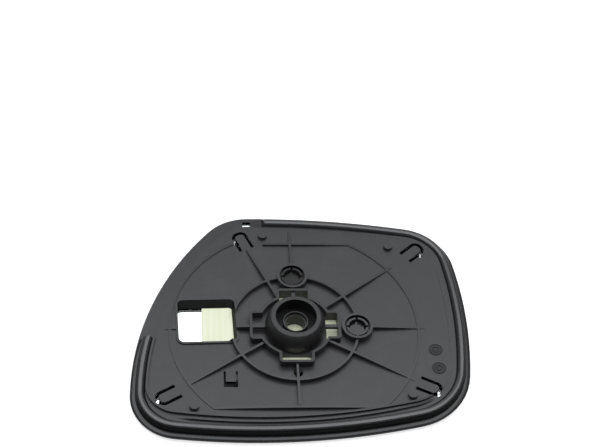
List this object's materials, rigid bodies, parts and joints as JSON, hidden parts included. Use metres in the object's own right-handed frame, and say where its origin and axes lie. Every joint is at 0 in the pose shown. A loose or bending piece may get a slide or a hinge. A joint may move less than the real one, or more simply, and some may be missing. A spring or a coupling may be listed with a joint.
{
  "type": "car door mirror glass",
  "caption": "Convex door mirror glass bonded to a ribbed plastic carrier with a pivot cup, snap collar and drive sockets on its back.",
  "frame": {"origin": "centre of the pivot bore, on the face of the carrier that is bonded to the glass", "axes": "+Z out of the back of the mirror along the pivot axis, +X along the length towards the outer end, +Y towards the upper edge as fitted"},
  "size_m": [0.1902, 0.155, 0.0177],
  "materials": {
    "carrier_plastic": "fine-grained black moulding with a satin rim",
    "film": "pale yellow-green translucent adhesive film",
    "mirror": "silvered convex glass"
  },
  "bodies": {
    "root": {"carrier": "carrier_plastic", "adhesive_film": "film", "mirror_glass": "mirror"}
  },
  "joints": []
}
